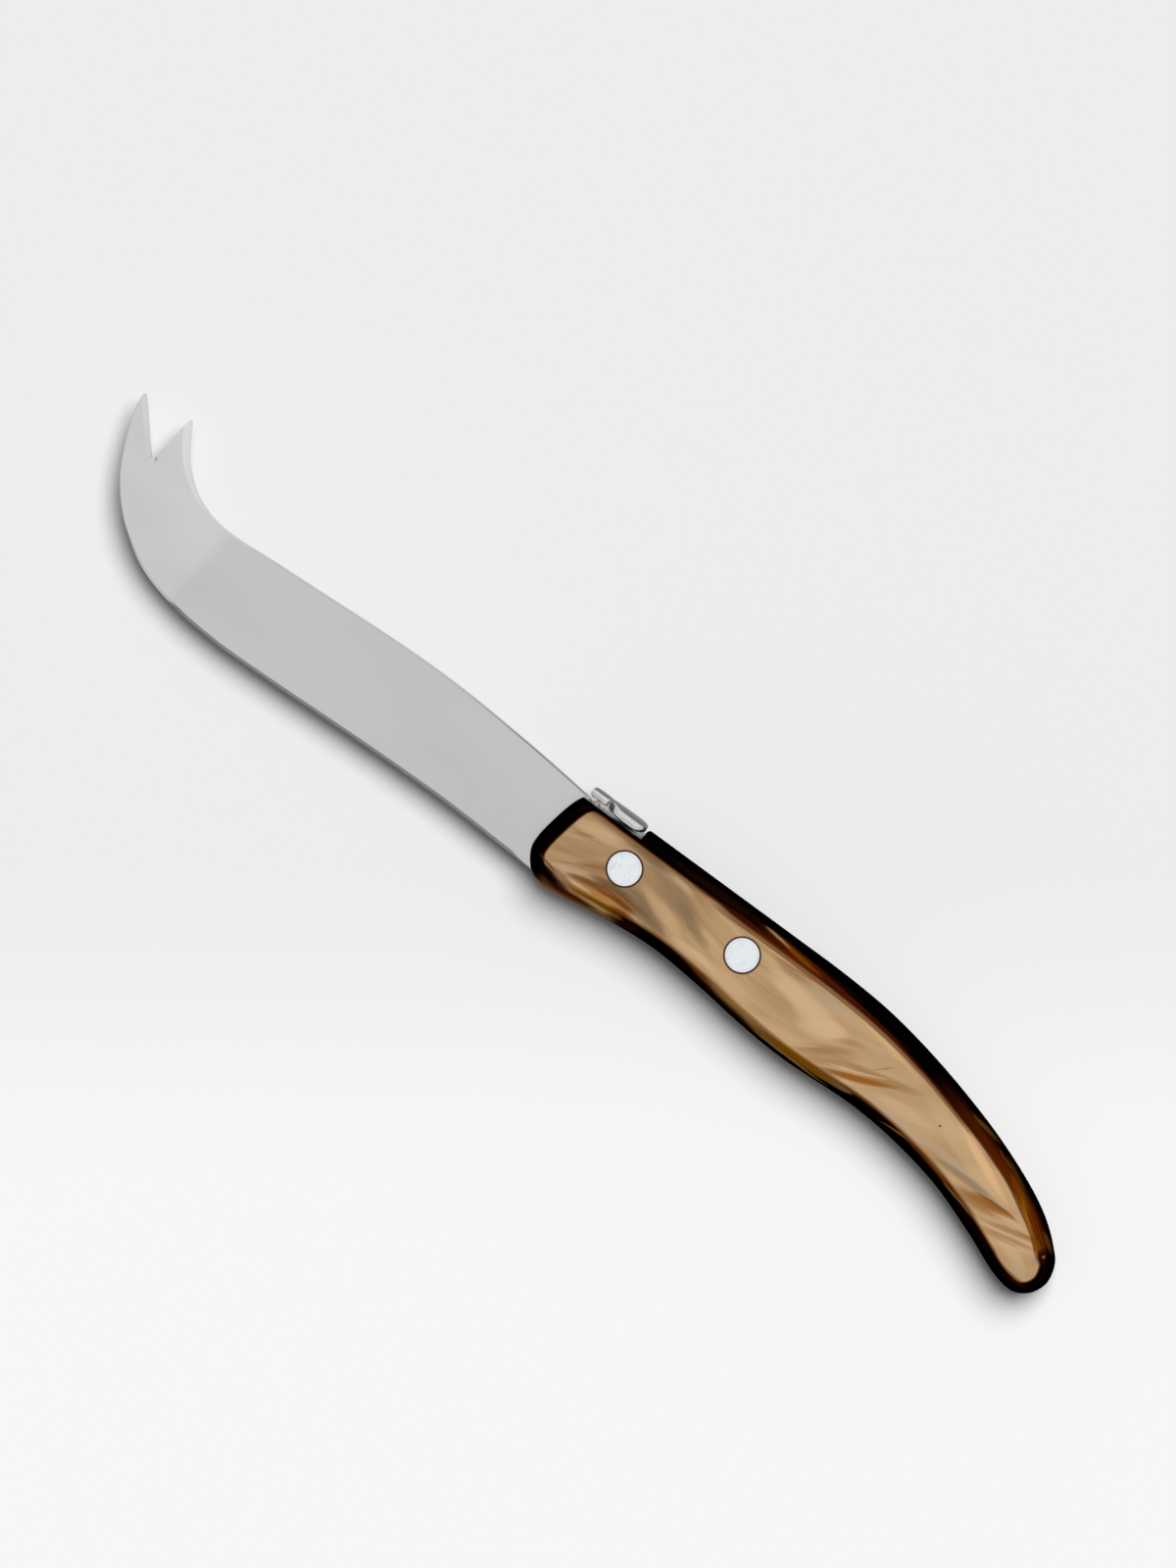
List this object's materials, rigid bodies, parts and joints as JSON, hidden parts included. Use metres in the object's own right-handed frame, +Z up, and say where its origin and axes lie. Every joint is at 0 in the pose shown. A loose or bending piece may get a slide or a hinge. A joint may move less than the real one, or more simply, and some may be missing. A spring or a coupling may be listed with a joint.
{
  "type": "cheese knife",
  "caption": "Cheese knife lying on its side: hooked blade with a forked tip, curved one-piece acrylic handle with flush rivets, and a small lobed ornament on the spine.",
  "frame": {"origin": "midway between the two rivets, on the flat side face of the handle that the knife lies on", "axes": "+X to the butt of the handle, so that the blade points to -X; +Y to the spine; +Z up, through the thickness"},
  "size_m": [0.2239, 0.0389, 0.011],
  "materials": {
    "handle_acrylic": "polished acrylic, pearly tan faces over a dark brown core that shows along the rounded edges",
    "blade_steel": "fine satin stainless steel with brighter ground bevels",
    "ornament_steel": "polished stainless steel",
    "rivet_metal": "fine satin, polished flush with the handle"
  },
  "bodies": {
    "root": {"handle": "handle_acrylic", "blade": "blade_steel", "spine_ornament": "ornament_steel", "front_rivet_post": "rivet_metal", "front_rivet_cap": "rivet_metal", "rear_rivet_post": "rivet_metal", "rear_rivet_cap": "rivet_metal"}
  },
  "joints": []
}
